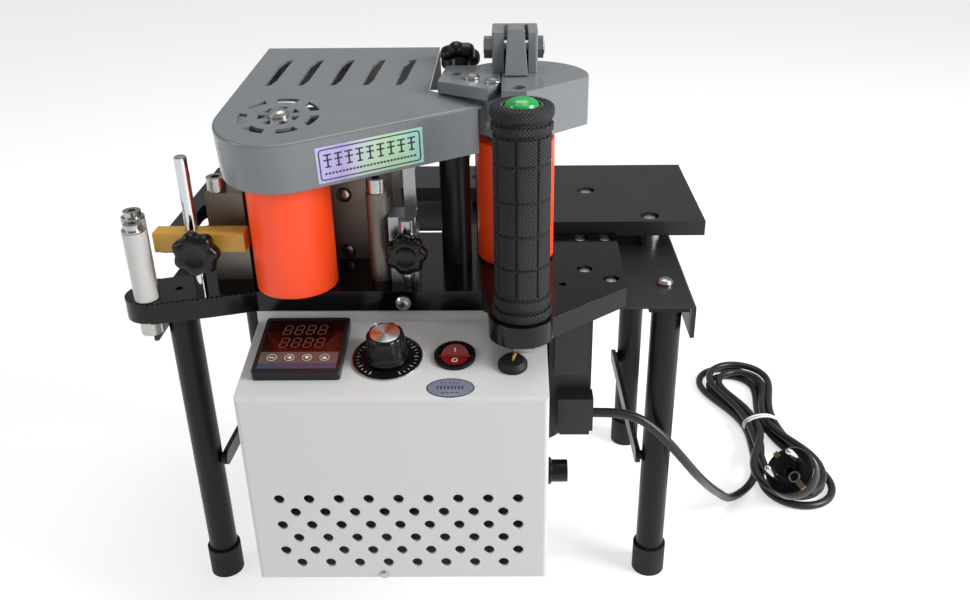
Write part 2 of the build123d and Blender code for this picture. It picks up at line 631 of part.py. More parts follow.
def top_cover():
    """Grey sheet cover, open to the casting: slanted slots, a vent ring and a skirt."""
    outer = cover_outline(0, [(9, BACK_V), (6.5, 64), (37, 45.8)])
    outer = extrude(outer, COVER_SKIRT, dir=(0, 0, -1))
    inner = cover_outline(COVER_SHEET, [(60, BACK_V - COVER_SHEET), (60, 70)])
    rim = outer.edges().filter_by(lambda e: abs(e.center().Z) < 0.01)
    outer = fillet(rim.filter_by(lambda e: e.center().X < 0), 1.5)
    shell = outer - Pos(0, 0, -COVER_SHEET) * extrude(inner, 40, dir=(0, 0, -1))
    for i in range(5):
        x = -83.5 + 18.6 * i
        slot = [(x - 4.9, 71.0), (x - 0.8, 72.5), (x + 1.4, 79.0), (x + 5.2, 110.0),
                (x + 1.0, 108.5), (x - 1.5, 102.0)]
        shell -= prism(slot, -5, 3)
    hub = Pos(MAIN_X, 32, 0)
    shell -= hub * (arc_slots(17.0, 22.0, 6.2) + arc_slots(7.2, 11.2, 4.2))
    shell -= block(34.5, 45, 38, 50, -40, -COVER_SHEET)
    return COVER * (shell - hub * Cylinder(2.3, 10))


def cover_screw():
    """Domed screw in the middle of the vent ring, with the stud that holds the cover."""
    return COVER * Pos(MAIN_X, 32, 0) * pan_screw(5.8, 3.2, 2.2, 9)


# ---------------------------------------------------------------- drive

def motor():
    """Gear motor under the plate: a gearbox block over a finned can."""
    body = block(26, 90, 84, 148, 180, PLATE_BOTTOM)
    body += post(58, 116, 98, 180, 33.0)
    for i in range(6):
        body += post(58, 116, 104 + 11 * i, 109 + 11 * i, 34.0)
    return body


def motor_terminal():
    """Stepped black housing beside the motor, with the gland block for the cord."""
    body = block(75, 101, 72.5, 84.0, 112, 204)
    body += block(78, 98, 66, 73, 160, 196)
    body += block(80, 102, 62, 74, 122, 145)
    body -= block(70, 82, 60, 90, 105, 118)
    return body


# ---------------------------------------------------------------- mains cord

CORD_ROUTE = [
    (102, 66, 133), (130, 66, 133), (152, 60, 112), (170, 68, 84), (187, 92, 54),
    (202, 120, 26), (214, 143, 3.6), (241, 157, 3.2),
]


def cord_lead():
    """Cord from the gland down to the floor and to the hank."""
    points = [Vector(*p) for p in CORD_ROUTE]
    radii = []
    for a, b, c in zip(points, points[1:], points[2:]):
        turn = (b - a).get_angle(c - b) * pi / 180
        radii.append(0.45 * min((b - a).length, (c - b).length) / (sin(turn / 2) / cos(turn / 2)))
    print("cord radii", [round(r, 1) for r in radii])
    path = FilletPolyline(*CORD_ROUTE, radius=radii)
    section = Plane(origin=path @ 0, z_dir=path % 0) * Circle(CORD_RADIUS)
    lead = sweep(section, path=path)
    print("cord length", round(path.length, 1), "ratio", lead.volume / (pi * 9 * path.length))
    return lead


def hank_lobe(x, y, half_width, half_length):
    """One flat ring of coiled cord lying on the floor."""
    ring = Ellipse(half_width, half_length) - Ellipse(half_width - 17, half_length - 17)
    return Pos(x, y, 0) * Rot(0, 0, 8) * extrude(ring, 18, dir=(0, 0, 1))


def cord_hank():
    """Outer shape of the coiled rest of the cord: two rings joined at a tied waist."""
    body = hank_lobe(256, 290, 29, 46) + hank_lobe(269, 178, 30, 50)
    body += Pos(263, 236, 9) * Rot(0, 0, 8) * Box(18, 36, 18)
    end, before = Vector(*CORD_ROUTE[-1]), Vector(*CORD_ROUTE[-2])
    run = end - before
    body -= facing(end - run * 0.25, run) * Cylinder(3.1, run.length * 0.5)
    return body - PLUG * Pos(0, 0, -20) * Cylinder(19.5, 40)


PLUG = facing((251.0, 128.0, 41.5), (-0.6, -0.3, 0.74), (0.73, 0.15, 0.65))


def plug():
    """Round two-pin mains plug with a tapered back."""
    profile = [(0, -36), (4.5, -36), (7, -26), (15, -14), (18.5, -10), (18.5, 0), (0, 0)]
    body = turned(profile)
    for side in (-1, 1):
        body += Pos(side * 9.5, 0, 9.5) * Cylinder(2.4, 19)
    return PLUG * body


def cord_tie():
    """Twist tie round the waist of the hank."""
    band = Box(20, 5, 20) - Box(18, 6, 18)
    return Pos(263, 236, 9) * Rot(0, 0, 8) * band & block(240, 290, 220, 260, 0, 30)


PARTS = {
    "shelf_frame": shelf_frame(),
    "legs": legs(),
    "foot_caps": foot_caps(),
    "brace_left": brace(-1),
    "brace_right": brace(1),
    "table_plate": table_plate(),
    "table_spacers": table_spacers(),
    "table_screws": table_screws(),
    "base_plate": base_plate(),
    "sunk_screws": sunk_screws(),
    "pan_screws": pan_screws(),
    "control_box": control_box(),
    "box_back": box_back(),
    "temp_controller": temp_controller(),
    "dial_plate": dial_plate(),
    "speed_knob": speed_knob(),
    "potentiometer": potentiometer(),
    "rocker_frame": rocker_frame(),
    "rocker_switch": rocker_switch(),
    "cable_grommet": cable_grommet(),
    "fuse_holder": fuse_holder(),
    "handle_tube": handle_tube(),
    "rubber_grip": rubber_grip(),
    "handle_button": handle_button(),
    "handle_nut": handle_nut(),
    "column": column(),
    "main_roller_sleeve": roller_sleeve(MAIN_X, MAIN_Y, 286),
    "main_roller_core": roller_core(MAIN_X, MAIN_Y, 286),
    "press_roller_sleeve": roller_sleeve(PRESS_X, PRESS_Y, 296),
    "press_roller_core": roller_core(PRESS_X, PRESS_Y, 296),
    "glue_roller": glue_roller(),
    "glue_pot": glue_pot(),
    "pot_caps": pot_caps(),
    "guide_block": guide_block(),
    "middle_knob": middle_knob(),
    "guide_rod": guide_rod(),
    "amber_bar": amber_bar(),
    "left_knob": left_knob(),
    "guide_tube_front": guide_tube(0),
    "guide_tube_rear": guide_tube(1),
    "tube_screws": tube_screws(),
    "head_pillar": head_pillar(),
    "gear_housing": gear_housing(),
    "lug_plate": lug_plate(),
    "rear_knob": rear_knob(),
    "clevis": clevis(),
    "tongue": tongue(),
    "pivot_bolt": pivot_bolt(),
    "top_cover": top_cover(),
    "cover_screw": cover_screw(),
    "motor": motor(),
    "motor_terminal": motor_terminal(),
    "cord_lead": cord_lead(),
    "cord_hank": cord_hank(),
    "plug": plug(),
    "cord_tie": cord_tie(),
}
for index, x in enumerate(KEY_XS):
    PARTS[f"key_{index + 1}"] = controller_key(x)

for name, shape in PARTS.items():
    export_step(Pos(-CENTRE_X, -CENTRE_Y, 0) * shape, f"parts/{name}.step")
print(len(PARTS), "parts")
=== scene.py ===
"""The looks of a bench-top edge banding machine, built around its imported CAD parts."""

from math import atan, cos, pi, radians, sin

import bpy
import numpy as np
from mathutils import Matrix, Vector


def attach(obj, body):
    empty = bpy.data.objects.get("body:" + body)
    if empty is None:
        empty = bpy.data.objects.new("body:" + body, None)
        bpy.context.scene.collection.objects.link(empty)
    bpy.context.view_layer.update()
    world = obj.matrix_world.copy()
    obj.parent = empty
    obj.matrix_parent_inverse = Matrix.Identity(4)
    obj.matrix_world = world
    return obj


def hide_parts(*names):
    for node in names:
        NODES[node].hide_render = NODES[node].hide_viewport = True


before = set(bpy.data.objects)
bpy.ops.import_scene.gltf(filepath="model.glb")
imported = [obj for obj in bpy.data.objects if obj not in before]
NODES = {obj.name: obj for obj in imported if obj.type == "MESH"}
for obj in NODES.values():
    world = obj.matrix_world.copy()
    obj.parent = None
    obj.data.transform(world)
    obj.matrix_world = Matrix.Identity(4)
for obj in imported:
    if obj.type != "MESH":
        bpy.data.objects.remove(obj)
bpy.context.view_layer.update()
MM = 0.001
# Middle of the footprint in the working millimetres, which every place below is given in
CENTRE = Vector((4.5, 127.95, 0.0))

# ---------------------------------------------------------------- helpers


def spot(x, y, z):
    """A working place in metres of the shared frame: (place - centre) / 1000."""
    return (Vector((x, y, z)) - CENTRE) * MM


def axes(origin, z_dir, x_dir=(1, 0, 0)):
    """Matrix from local millimetres to metres: Z along z_dir, Y = Z x x_dir, X = Y x Z."""
    z = Vector(z_dir).normalized()
    y = z.cross(Vector(x_dir)).normalized()
    x = y.cross(z)
    turn = Matrix((x, y, z)).transposed().to_4x4()
    return Matrix.Translation(spot(*origin)) @ turn @ Matrix.Scale(MM, 4)


# The sloping panel and the cover's top, each from its lower front edge and its slope
PANEL_TILT, COVER_TILT = atan(0.181), atan(0.158)
PANEL = axes((0, -3, 187.5), (0, -sin(PANEL_TILT), cos(PANEL_TILT)))
COVER = axes((0, 38, 316), (0, -sin(COVER_TILT), cos(COVER_TILT)))
UPRIGHT = axes((0, 0, 0), (0, 0, 1))
DIAL_PLACE = (-17.1, 34.2)
CORD_START = (102, 66, 133)


def shift(matrix, x, y, z, turn=0.0, about="Z"):
    """matrix x move by x, y, z local millimetres x turn by degrees about a local axis."""
    return matrix @ Matrix.Translation((x, y, z)) @ Matrix.Rotation(radians(turn), 4, about)


def rgb(code):
    """Linear colour of an sRGB hex code: c / 12.92, or ((c + 0.055) / 1.055) ^ 2.4."""
    channels = [int(code[i:i + 2], 16) / 255 for i in (1, 3, 5)]
    return [c / 12.92 if c < 0.04045 else ((c + 0.055) / 1.055) ** 2.4 for c in channels] + [1.0]


def mesh_object(name, points, faces, matrix, material, body, smooth=True):
    """One mesh at the origin, each point being matrix x its local millimetres."""
    turn = np.array(matrix)
    moved = np.asarray(points, float) @ turn[:3, :3].T + turn[:3, 3]
    mesh = bpy.data.meshes.new(name)
    mesh.from_pydata(moved.tolist(), [], faces)
    mesh.materials.append(material)
    mesh.update()
    mesh.polygons.foreach_set("use_smooth", [smooth] * len(mesh.polygons))
    piece = bpy.data.objects.new(name, mesh)
    bpy.context.scene.collection.objects.link(piece)
    if smooth:
        mesh.set_sharp_from_angle(angle=radians(38))
    if body:
        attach(piece, body)
    return piece


def grid_faces(rows, columns, ring=False):
    """Quads of a grid: point (r, c) with (r, c + 1), (r + 1, c + 1) and (r + 1, c), where the
    columns run round, and so do the rows of a ring."""
    r, c = np.meshgrid(np.arange(rows if ring else rows - 1), np.arange(columns), indexing="ij")
    below, beside = (r + 1) % rows, (c + 1) % columns
    quads = [r * columns + c, r * columns + beside, below * columns + beside, below * columns + c]
    return np.stack(quads, axis=-1).reshape(-1, 4).tolist()


def turned(name, profile, matrix, material, body, steps=96, shape=None):
    """A profile carried round Z: point = (R cos a, R sin a, z), with R = shape(r, a, z)."""
    r, z = np.array(profile, float).T[:, :, None]
    a = np.arange(steps)[None, :] * 2 * pi / steps
    radius = shape(r, a, z) if shape else r + 0 * a
    points = np.stack([radius * np.cos(a), radius * np.sin(a), z + 0 * a], axis=-1)
    faces = grid_faces(len(profile), steps)
    return mesh_object(name, points.reshape(-1, 3), faces, matrix, material, body)


def slabs(name, outlines, z0, z1, matrix, material, body):
    """Plates as one mesh: each outline stands at z0 and at z1, with a wall between them."""
    points, faces, start = [], [], 0
    for outline in outlines:
        flat = np.array(outline, float)
        n = len(flat)
        points += [np.c_[flat, np.full(n, z)] for z in (z0, z1)]
        low = start + np.arange(n)
        after = np.roll(low, -1)
        faces += [low[::-1].tolist(), (low + n).tolist()]
        faces += np.stack([low, after, after + n, low + n], axis=1).tolist()
        start += 2 * n
    return mesh_object(name, np.concatenate(points), faces, matrix, material, body, smooth=False)


def rectangle(x0, x1, y0, y1, lean=0.0):
    """Corners of a rectangle whose top is moved sideways by lean x its height."""
    return [(x0, y0), (x1, y0), (x1 + lean * (y1 - y0), y1), (x0 + lean * (y1 - y0), y1)]


def oval(half_width, half_height, steps=48):
    """Outline of an oval: (half width x cos a, half height x sin a)."""
    a = np.arange(steps) * 2 * pi / steps
    return np.stack([half_width * np.cos(a), half_height * np.sin(a)], axis=1)


def wire(name, route, radius, material, rings=5, steps=8, caps=True):
    """Round cord on a quadratic NURBS spline whose control points are the route."""
    curve = bpy.data.curves.new(name, "CURVE")
    curve.dimensions = "3D"
    curve.bevel_depth = radius * MM
    curve.bevel_resolution = rings
    curve.resolution_u = steps
    curve.use_fill_caps = caps
    spline = curve.splines.new("NURBS")
    spline.points.add(len(route) - 1)
    for point, place in zip(spline.points, route):
        point.co = (*spot(*place), 1)
    spline.order_u = 3
    spline.use_endpoint_u = True
    curve.materials.append(material)
    piece = bpy.data.objects.new(name, curve)
    bpy.context.scene.collection.objects.link(piece)
    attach(piece, "machine")
    return piece


# ---------------------------------------------------------------- materials


def add(tree, kind, inputs=None, **settings):
    """A new node with its inputs and settings filled in; a socket as a value is linked."""
    node = tree.nodes.new(kind)
    for key, value in settings.items():
        setattr(node, key, value)
    for key, value in (inputs or {}).items():
        if isinstance(value, bpy.types.NodeSocket):
            tree.links.new(value, node.inputs[key])
        else:
            node.inputs[key].default_value = value
    return node


CLOUD = 25.0  # size in millimetres of the slow change of tone and gloss over any surface


def material(name, colour, rough, metal=0.0, grain=1.0, bump=0.0, spread=0.0, tone=0.0,
             edge=0.3, coat=0.0, shine=0.5, **extra):
    """A finish from two noises: a fine one, grain millimetres wide, raises the surface by bump
    millimetres; a wide one moves roughness by spread and brightness by tone. edge is the
    rounding of sharp corners in millimetres."""
    made = bpy.data.materials.new(name)
    made.use_nodes = True
    tree = made.node_tree
    tree.nodes.clear()
    place = add(tree, "ShaderNodeTexCoord").outputs["Object"]
    fine = add(tree, "ShaderNodeTexNoise", {"Vector": place, "Scale": 1 / (grain * MM),
                                            "Detail": 3.0})
    wide = add(tree, "ShaderNodeTexNoise", {"Vector": place, "Scale": 1 / (CLOUD * MM),
                                            "Detail": 5.0})
    base = rgb(colour)
    dark = [c * (1 - tone) for c in base[:3]] + [1]
    light = [min(1, c * (1 + tone)) for c in base[:3]] + [1]
    blend = add(tree, "ShaderNodeMix", {"Factor": wide.outputs[0], 6: dark, 7: light},
                data_type="RGBA")
    level = add(tree, "ShaderNodeMapRange", {"Value": wide.outputs[0], "From Min": 0.3,
                "From Max": 0.7, "To Min": rough - spread, "To Max": rough + spread})
    normal = add(tree, "ShaderNodeBevel", {"Radius": edge * MM}, samples=4).outputs[0]
    if bump:
        normal = add(tree, "ShaderNodeBump", {"Height": fine.outputs[0], "Distance": bump * MM,
                     "Strength": 0.8, "Normal": normal}).outputs[0]
    shader = add(tree, "ShaderNodeBsdfPrincipled", {
        "Base Color": blend.outputs[2], "Roughness": level.outputs[0], "Metallic": metal,
        "Normal": normal, "Coat Weight": coat, "Coat Roughness": 0.08,
        "Specular IOR Level": shine, **extra})
    add(tree, "ShaderNodeOutputMaterial", {"Surface": shader.outputs[0]})
    return made


def surface_of(made):
    """The shader of a finish and the place on the piece, to carry a pattern of its own."""
    tree = made.node_tree
    shader = next(node for node in tree.nodes if node.type == "BSDF_PRINCIPLED")
    return tree, shader, add(tree, "ShaderNodeTexCoord").outputs["Object"]


def colour_by(made, factor, stops):
    """Colour the finish by factor: the stops, each (at, hex), blend from one to the next."""
    tree, shader, _ = surface_of(made)
    ramp = add(tree, "ShaderNodeValToRGB", {"Fac": factor})
    band = ramp.color_ramp
    while len(band.elements) < len(stops):
        band.elements.new(0.5)
    for element, (at, colour) in zip(band.elements, stops):
        element.position = at
        element.color = rgb(colour)
    tree.links.new(ramp.outputs[0], shader.inputs["Base Color"])


def painted_fan_face():
    """Fine-turned aluminium with painted light: colour follows the angle round the knob's centre,
    in painted fans of highlight and shade and a painted reflection of the red roller, as a turned
    disc shows them."""
    made = material("turned_aluminium_painted_fans", "#c9c9ca", 0.3, metal=0.7)
    tree, _, place = surface_of(made)
    centre = shift(PANEL, *DIAL_PLACE, 17.8).translation
    place = add(tree, "ShaderNodeVectorMath", {0: place, 1: tuple(centre)},
                operation="SUBTRACT").outputs[0]
    angle = add(tree, "ShaderNodeTexGradient", {"Vector": place}, gradient_type="RADIAL")
    colour_by(made, angle.outputs[1], [
        (0.0, "#d96a4a"), (0.1, "#f0a080"), (0.2, "#8c8c8c"), (0.32, "#ececec"),
        (0.45, "#9a9a9a"), (0.58, "#e8795a"), (0.7, "#c8503a"), (0.85, "#e4e4e4"),
        (1.0, "#d96a4a")])
    return made


def rainbow_film():
    """Holographic film: place in the rainbow = 13 x (x + 0.068 m) + 0.3 x noise."""
    made = material("iridescent_label_film", "#cfd6e6", 0.3, metal=0.1, coat=0.3)
    tree, _, place = surface_of(made)
    noise = add(tree, "ShaderNodeTexNoise", {"Vector": place, "Scale": 30.0, "Detail": 0.0})
    across = add(tree, "ShaderNodeSeparateXYZ", {"Vector": place})
    past = add(tree, "ShaderNodeMath", {0: across.outputs[0], 1: 0.068})
    drift = add(tree, "ShaderNodeMath", {0: past.outputs[0], 1: 13.0}, operation="MULTIPLY")
    swing = add(tree, "ShaderNodeMath", {0: noise.outputs[0], 1: 0.3}, operation="MULTIPLY")
    total = add(tree, "ShaderNodeMath", {0: drift.outputs[0], 1: swing.outputs[0]})
    colour_by(made, total.outputs[0], [
        (0.0, "#b4ccd2"), (0.25, "#a9b9cf"), (0.38, "#a9a5cf"), (0.47, "#a493c8"),
        (0.57, "#b3b9c4"), (0.7, "#b4cdb4"), (0.85, "#a9d3a6"), (1.0, "#9ccfc6")])
    return made


def knurled_rubber():
    """Moulded rubber whose relief is the higher of two sets of crossing ridges."""
    made = material("knurled_black_rubber", "#101012", 0.6, grain=0.6, bump=0.02, spread=0.05,
                    tone=0.08, edge=0.2, shine=0.35)
    tree, shader, place = surface_of(made)
    heights = []
    for side in (-1, 1):
        turn = add(tree, "ShaderNodeMapping", {"Vector": place, "Rotation": (0, side * 0.7, 0)})
        wave = add(tree, "ShaderNodeTexWave", {"Vector": turn.outputs[0],
                   "Scale": 230.0}, bands_direction="Z")
        heights.append(wave.outputs[1])
    both = add(tree, "ShaderNodeMath", {0: heights[0], 1: heights[1]}, operation="MAXIMUM")
    smooth = shader.inputs["Normal"].links[0].from_socket
    relief = add(tree, "ShaderNodeBump", {"Height": both.outputs[0], "Distance": 0.5 * MM,
                 "Strength": 0.9, "Normal": smooth})
    tree.links.new(relief.outputs[0], shader.inputs["Normal"])
    # Colour follows the ridge height: painted shade in the grooves, a painted highlight on the
    # ridge tops
    colour_by(made, both.outputs[0], [(0.0, "#060607"), (1.0, "#1d1e20")])
    return made


# Powder coat on steel: even black with a soft broad sheen and a slight orange-peel
black_powder = material("black_powder_coat", "#17181a", 0.4, grain=0.5, bump=0.03, spread=0.05,
                        shine=0.4)
# Satin paint on round tube: a narrow grey streak along each leg
black_tube = material("black_satin_tube", "#101113", 0.34, grain=0.8, bump=0.01, spread=0.06,
                      shine=0.22)
# Gloss enamel on plate: nearly black, mirroring what stands on it
enamel = material("black_gloss_enamel", "#060607", 0.13, grain=3.0, bump=0.02, spread=0.05,
                  edge=0.5, shine=0.3)
# White powder coat: warm light grey with soft folded edges
white_powder = material("white_powder_coat", "#c1c2c1", 0.42, grain=0.9, bump=0.012, spread=0.04,
                        tone=0.01, edge=0.8)
# Grey gloss paint on casting and sheet: a clear coat over mid grey
grey_paint = material("grey_gloss_paint", "#6b6f72", 0.27, grain=1.6, bump=0.003, spread=0.06,
                      tone=0.02, coat=0.25, edge=0.6)
# Cast polyurethane: bright orange with a little light through its edge, and a faint painted glow
# (emission) over all of it
orange = material("orange_polyurethane", "#ff4a14", 0.42, grain=2.0, bump=0.01, spread=0.05,
                  tone=0.03, **{"Subsurface Weight": 0.15, "Subsurface Scale": 0.004,
                                "Emission Color": rgb("#ff4a10"), "Emission Strength": 0.04})
# Bare turned and milled steel: grey metal with a blurred shine
steel = material("machined_steel", "#9b9b9c", 0.3, metal=1.0, grain=0.7, bump=0.01, spread=0.08,
                 tone=0.06)
# Chrome: sharp bright reflections
chrome = material("bright_chrome", "#c9cbcf", 0.08, metal=1.0, spread=0.03)
# Bright zinc on fasteners: a little yellower and duller than chrome
zinc = material("zinc_plate", "#b0b0ad", 0.27, metal=1.0, grain=1.0, bump=0.01, spread=0.08)
# Sand-cast aluminium browned by heat: dull, grainy and uneven
casting = material("cast_aluminium", "#7d776f", 0.46, metal=0.8, grain=1.4, bump=0.06,
                   spread=0.1, tone=0.15)
# Moulded plastic of knobs and plug: deep black with clear highlights
plastic = material("black_moulded_plastic", "#09090a", 0.26, grain=1.2, bump=0.01, spread=0.06,
                   shine=0.3)
# Fine-textured instrument case: black that never shines
instrument = material("instrument_case_plastic", "#16171a", 0.36, grain=0.4, bump=0.01, shine=0.4)
# Moulded rubber: matt black
rubber = material("black_rubber", "#101113", 0.6, grain=0.5, bump=0.03, spread=0.06, tone=0.1,
                  shine=0.35)
# Aged nylon: amber, light passing through its corners
amber = material("amber_nylon", "#c99a3e", 0.36, grain=4.0, bump=0.02, spread=0.06, tone=0.12,
                 **{"Subsurface Weight": 0.5, "Subsurface Scale": 0.006,
                    "Subsurface Radius": (1.0, 0.6, 0.25)})
# Turned acetal: soft white with a waxy depth
acetal = material("white_acetal", "#bdbcba", 0.34, grain=2.0, bump=0.01,
                  **{"Subsurface Weight": 0.2, "Subsurface Scale": 0.003})
# Tinted polycarbonate of switch and button: deep colour under a smooth skin
red = material("red_clear_plastic", "#7d0c0a", 0.35, grain=2.0, shine=0.25)
# The green carries a faint painted glow (emission) that brightens the dome
green = material("green_clear_plastic", "#0b8f3c", 0.2, grain=2.0, coat=0.3, edge=0.2,
                 **{"Emission Color": rgb("#0a9a40"), "Emission Strength": 0.1})
# Soft vinyl sheath: dark grey with a long thin highlight
cord_pvc = material("cord_pvc", "#1c1e21", 0.38, grain=1.0, bump=0.01, spread=0.06, edge=0.1,
                    shine=0.4)
# Instrument front: a dark red filter, unlit digits behind it and two printed film bands
window = material("dark_red_window", "#1c0706", 0.09, coat=0.2, shine=0.4)
lit = material("unlit_segments", "#7a4a41", 0.4)
strip = material("key_strip_film", "#5b4c45", 0.3, coat=0.2)
blue_film = material("blue_film", "#343d58", 0.25, coat=0.2)
key_film = material("key_caps", "#5f5049", 0.34)
# White print and the printed black scale below the knob
pale = material("pale_print", "#d8d6d0", 0.5)
dial_black = material("dial_scale_black", "#0a0a0c", 0.25, coat=0.1, shine=0.4)
# Spun aluminium: a thin bright rim
spun = material("spun_aluminium", "#c9c9ca", 0.25, metal=1.0, grain=0.6, bump=0.004)
# Disc face whose colour holds painted highlight fans and a painted red reflection of the roller
spun_disc = painted_fan_face()
# Foil sticker: blue grey that brightens at a glance, with dark blue print
sticker = material("oval_sticker_film", "#7d8394", 0.3, metal=0.4, coat=0.4)
ink = material("dark_blue_print", "#30344a", 0.45)
# Stamped brass contacts, a vinyl-covered wire and a paper-covered tie
brass = material("brass_strip", "#b9a172", 0.3, metal=1.0)
yellow = material("yellow_wire", "#b8933a", 0.4)
tie_white = material("white_tie_paper", "#dcdee4", 0.45, grain=1.5, bump=0.05)
label_film = rainbow_film()
knurled = knurled_rubber()

FINISHES = {
    black_powder: "shelf_frame table_plate motor motor_terminal head_pillar",
    black_tube: "legs brace_left brace_right column",
    enamel: "base_plate",
    white_powder: "control_box box_back",
    grey_paint: "gear_housing lug_plate clevis tongue top_cover",
    orange: "main_roller_sleeve press_roller_sleeve",
    steel: "main_roller_core press_roller_core glue_roller handle_tube guide_block potentiometer "
           "table_spacers pivot_bolt",
    zinc: "pot_caps tube_screws sunk_screws pan_screws table_screws cover_screw handle_nut",
    chrome: "guide_rod",
    casting: "glue_pot",
    plastic: "rocker_frame fuse_holder middle_knob left_knob rear_knob speed_knob plug",
    dial_black: "dial_plate",
    instrument: "temp_controller",
    key_film: "key_1 key_2 key_3 key_4",
    rubber: "rubber_grip foot_caps cable_grommet",
    amber: "amber_bar",
    acetal: "guide_tube_front guide_tube_rear cord_tie",
    red: "rocker_switch",
    green: "handle_button",
    cord_pvc: "cord_lead cord_hank",
}
for finish_material, names in FINISHES.items():
    for node_name in names.split():
        NODES[node_name].data.materials.clear()
        NODES[node_name].data.materials.append(finish_material)

# ---------------------------------------------------------------- grip


GROOVES = (233.5, 251.3, 269.9, 288.4, 307.4, 322.3)


def grip_shape(r, a, z):
    """Pads: R = 14.1 + 0.9 x root of ((near - 0.45) / 0.6 kept between 0 and 1), where near is
    the distance in millimetres to the nearest of eight seams and of the grooves."""
    column = (a / (2 * pi) * 8 + 0.28) % 1.0
    side = np.minimum(column, 1 - column) * 2 * pi * 15 / 8
    row = np.min([np.abs(z - groove) for groove in GROOVES], axis=0)
    near = np.minimum(side, row)
    pads = 14.1 + 0.9 * np.clip((near - 0.45) / 0.6, 0, 1) ** 0.5
    return np.where((z > 234.5) & (z < 321.5), pads, r)


def grip():
    """Rubber grip with rings at both ends and raised pads between."""
    foot = [(11.0, 219.85), (15.7, 219.85), (16.2, 220.4), (16.2, 224.0), (15.6, 224.9),
            (14.3, 225.2), (14.3, 226.7), (15.2, 227.0), (15.6, 227.8), (15.6, 231.6),
            (15.2, 232.4), (14.1, 232.8), (14.1, 234.4)]
    middle = [(15.0, z) for z in np.arange(234.8, 321.4, 0.35)]
    head = [(14.1, 321.6), (14.1, 323.0), (15.2, 323.3), (15.9, 324.0), (15.9, 326.9),
            (15.2, 327.7), (14.4, 328.0), (14.4, 329.4), (15.0, 329.7), (16.0, 330.4),
            (16.4, 331.5), (16.4, 334.0), (16.0, 335.4), (15.0, 336.2), (12.8, 336.6),
            (11.2, 336.6), (10.8, 336.2), (10.4, 335.6)]
    piece = turned("grip_rubber", foot + middle + head, axes((58, 34.2, 0), (0, 0, 1)),
                   knurled, "machine", 384, grip_shape)
    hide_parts("rubber_grip")


grip()

# ---------------------------------------------------------------- knobs


def star_shape(r, a, z):
    """Seven lobes outside the hub: R = r (0.86 + 0.14 (0.5 + 0.5 cos 7a) ^ 0.8)."""
    wave = 0.5 + 0.5 * np.cos(7 * a)
    return np.where(r < 7.0, r, r * (0.86 + 0.14 * wave ** 0.8))


def star(name, origin, direction, radius, hub_length, body):
    """Star knob: a profile of hub, rounded rim and dished crown, turned with seven lobes."""
    r = radius
    profile = [(2.4, -hub_length), (5.6, -hub_length), (6.0, -hub_length + 0.5), (6.4, -0.6),
               (6.9, 0.0), (r * 0.80, 0.1), (r * 0.93, 0.9), (r, 2.6), (r, 6.2),
               (r * 0.95, 8.0), (r * 0.84, 9.1), (r * 0.62, 9.5), (6.0, 9.3), (5.2, 8.8),
               (4.6, 8.5), (0.01, 8.3)]
    piece = turned(name + "_shape", profile, axes(origin, direction), plastic, body, 168,
                   star_shape)
    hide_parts(name)


star("left_knob", (-121.3, 54.7, 249), (0, -1, 0), 13.2, 5.0, "guide_clamp_knob")
star("middle_knob", (-7, 66, 243), (0, -1, 0), 12.2, 5.5, "middle_clamp_knob")
star("rear_knob", (22, 142.6, 331), (0, 0.75, 0.66), 12.2, 5.0, "rear_clamp_knob")


def dial_shape(r, a, z):
    """Ten flutes that deepen upwards: R = r - 0.55 clip((z - 5) / 8) (0.5 - 0.5 cos 10a) ^ 1.5."""
    depth = 0.55 * np.clip((z - 5) / 8, 0, 1)
    flutes = (0.5 - 0.5 * np.cos(10 * a)) ** 1.5
    return np.where((r < 8.6) | (z < 5.0), r, r - depth * flutes)


def speed_dial():
    """Speed knob, its spun disc, its pointer line and the printed scale, all turned about one
    axis; mark i of 31 stands at -60 + 10 i degrees."""
    matrix = shift(PANEL, *DIAL_PLACE, 0)
    profile = [(3, -1), (3, 1.4), (11.9, 1.4), (12.3, 1.9), (12.2, 3.2), (11.7, 4.2),
               (11.1, 5.2), (10.9, 7.0), (10.8, 9.0), (10.75, 11.0), (10.7, 13.0), (10.7, 15.0),
               (10.5, 16.3), (9.9, 17.3), (9.0, 17.8), (8.5, 17.8), (8.3, 17.4), (0.01, 17.4)]
    knob = turned("speed_knob_barrel", profile, matrix, plastic, "speed_dial", 160, dial_shape)
    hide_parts("speed_knob")
    disc = [(8.2, 17.3), (8.2, 17.9), (7.9, 18.0), (0.01, 17.8)]
    turned("speed_knob_disc", disc, matrix, spun_disc, "speed_dial", 96)
    line = shift(matrix, 0, 0, 0, 128)
    slabs("speed_knob_pointer", [rectangle(8.4, 10.9, -0.45, 0.45)], 17.0, 17.86, line, pale,
          "speed_dial")
    marks = []
    for i in range(31):
        a = radians(-60 + 10 * i)
        inner, half = (15.9, 0.13) if i % 3 else (14.9, 0.2)
        ends = [(inner, -half), (17.2, -half), (17.2, half), (inner, half)]
        marks.append([(p * cos(a) - q * sin(a), p * sin(a) + q * cos(a)) for p, q in ends])
    slabs("dial_scale", marks, 0.8, 0.86, matrix, pale, "machine")
    rim = [(19.2, 0.8), (19.2, 0.95), (19.75, 0.95), (19.75, 0.1)]
    turned("dial_rim", rim, matrix, spun, "machine", 128)


speed_dial()

# ---------------------------------------------------------------- panel pieces


def digits():
    """Two rows of four seven-segment digits behind the window: each is three level bars and
    four upright ones, leaning by 0.14 x height."""
    bars = []
    width, height, lean = 4.0, 7.8, 0.14
    for bottom in (8.6, -2.6):
        for i in range(4):
            left = -12.6 + 6.6 * i
            for k in range(3):
                y = bottom + k * height / 2
                x = left + lean * (y - bottom)
                bars.append(rectangle(x + 0.45, x + width - 0.45, y - 0.3, y + 0.3))
            for k in range(2):
                y0, y1 = (bottom + k * height / 2 + 0.45, bottom + (k + 1) * height / 2 - 0.45)
                for side in (-0.3, width - 0.3):
                    x = left + side + lean * (y0 - bottom)
                    bars.append(rectangle(x, x + 0.6, y0, y1, lean))
    return bars


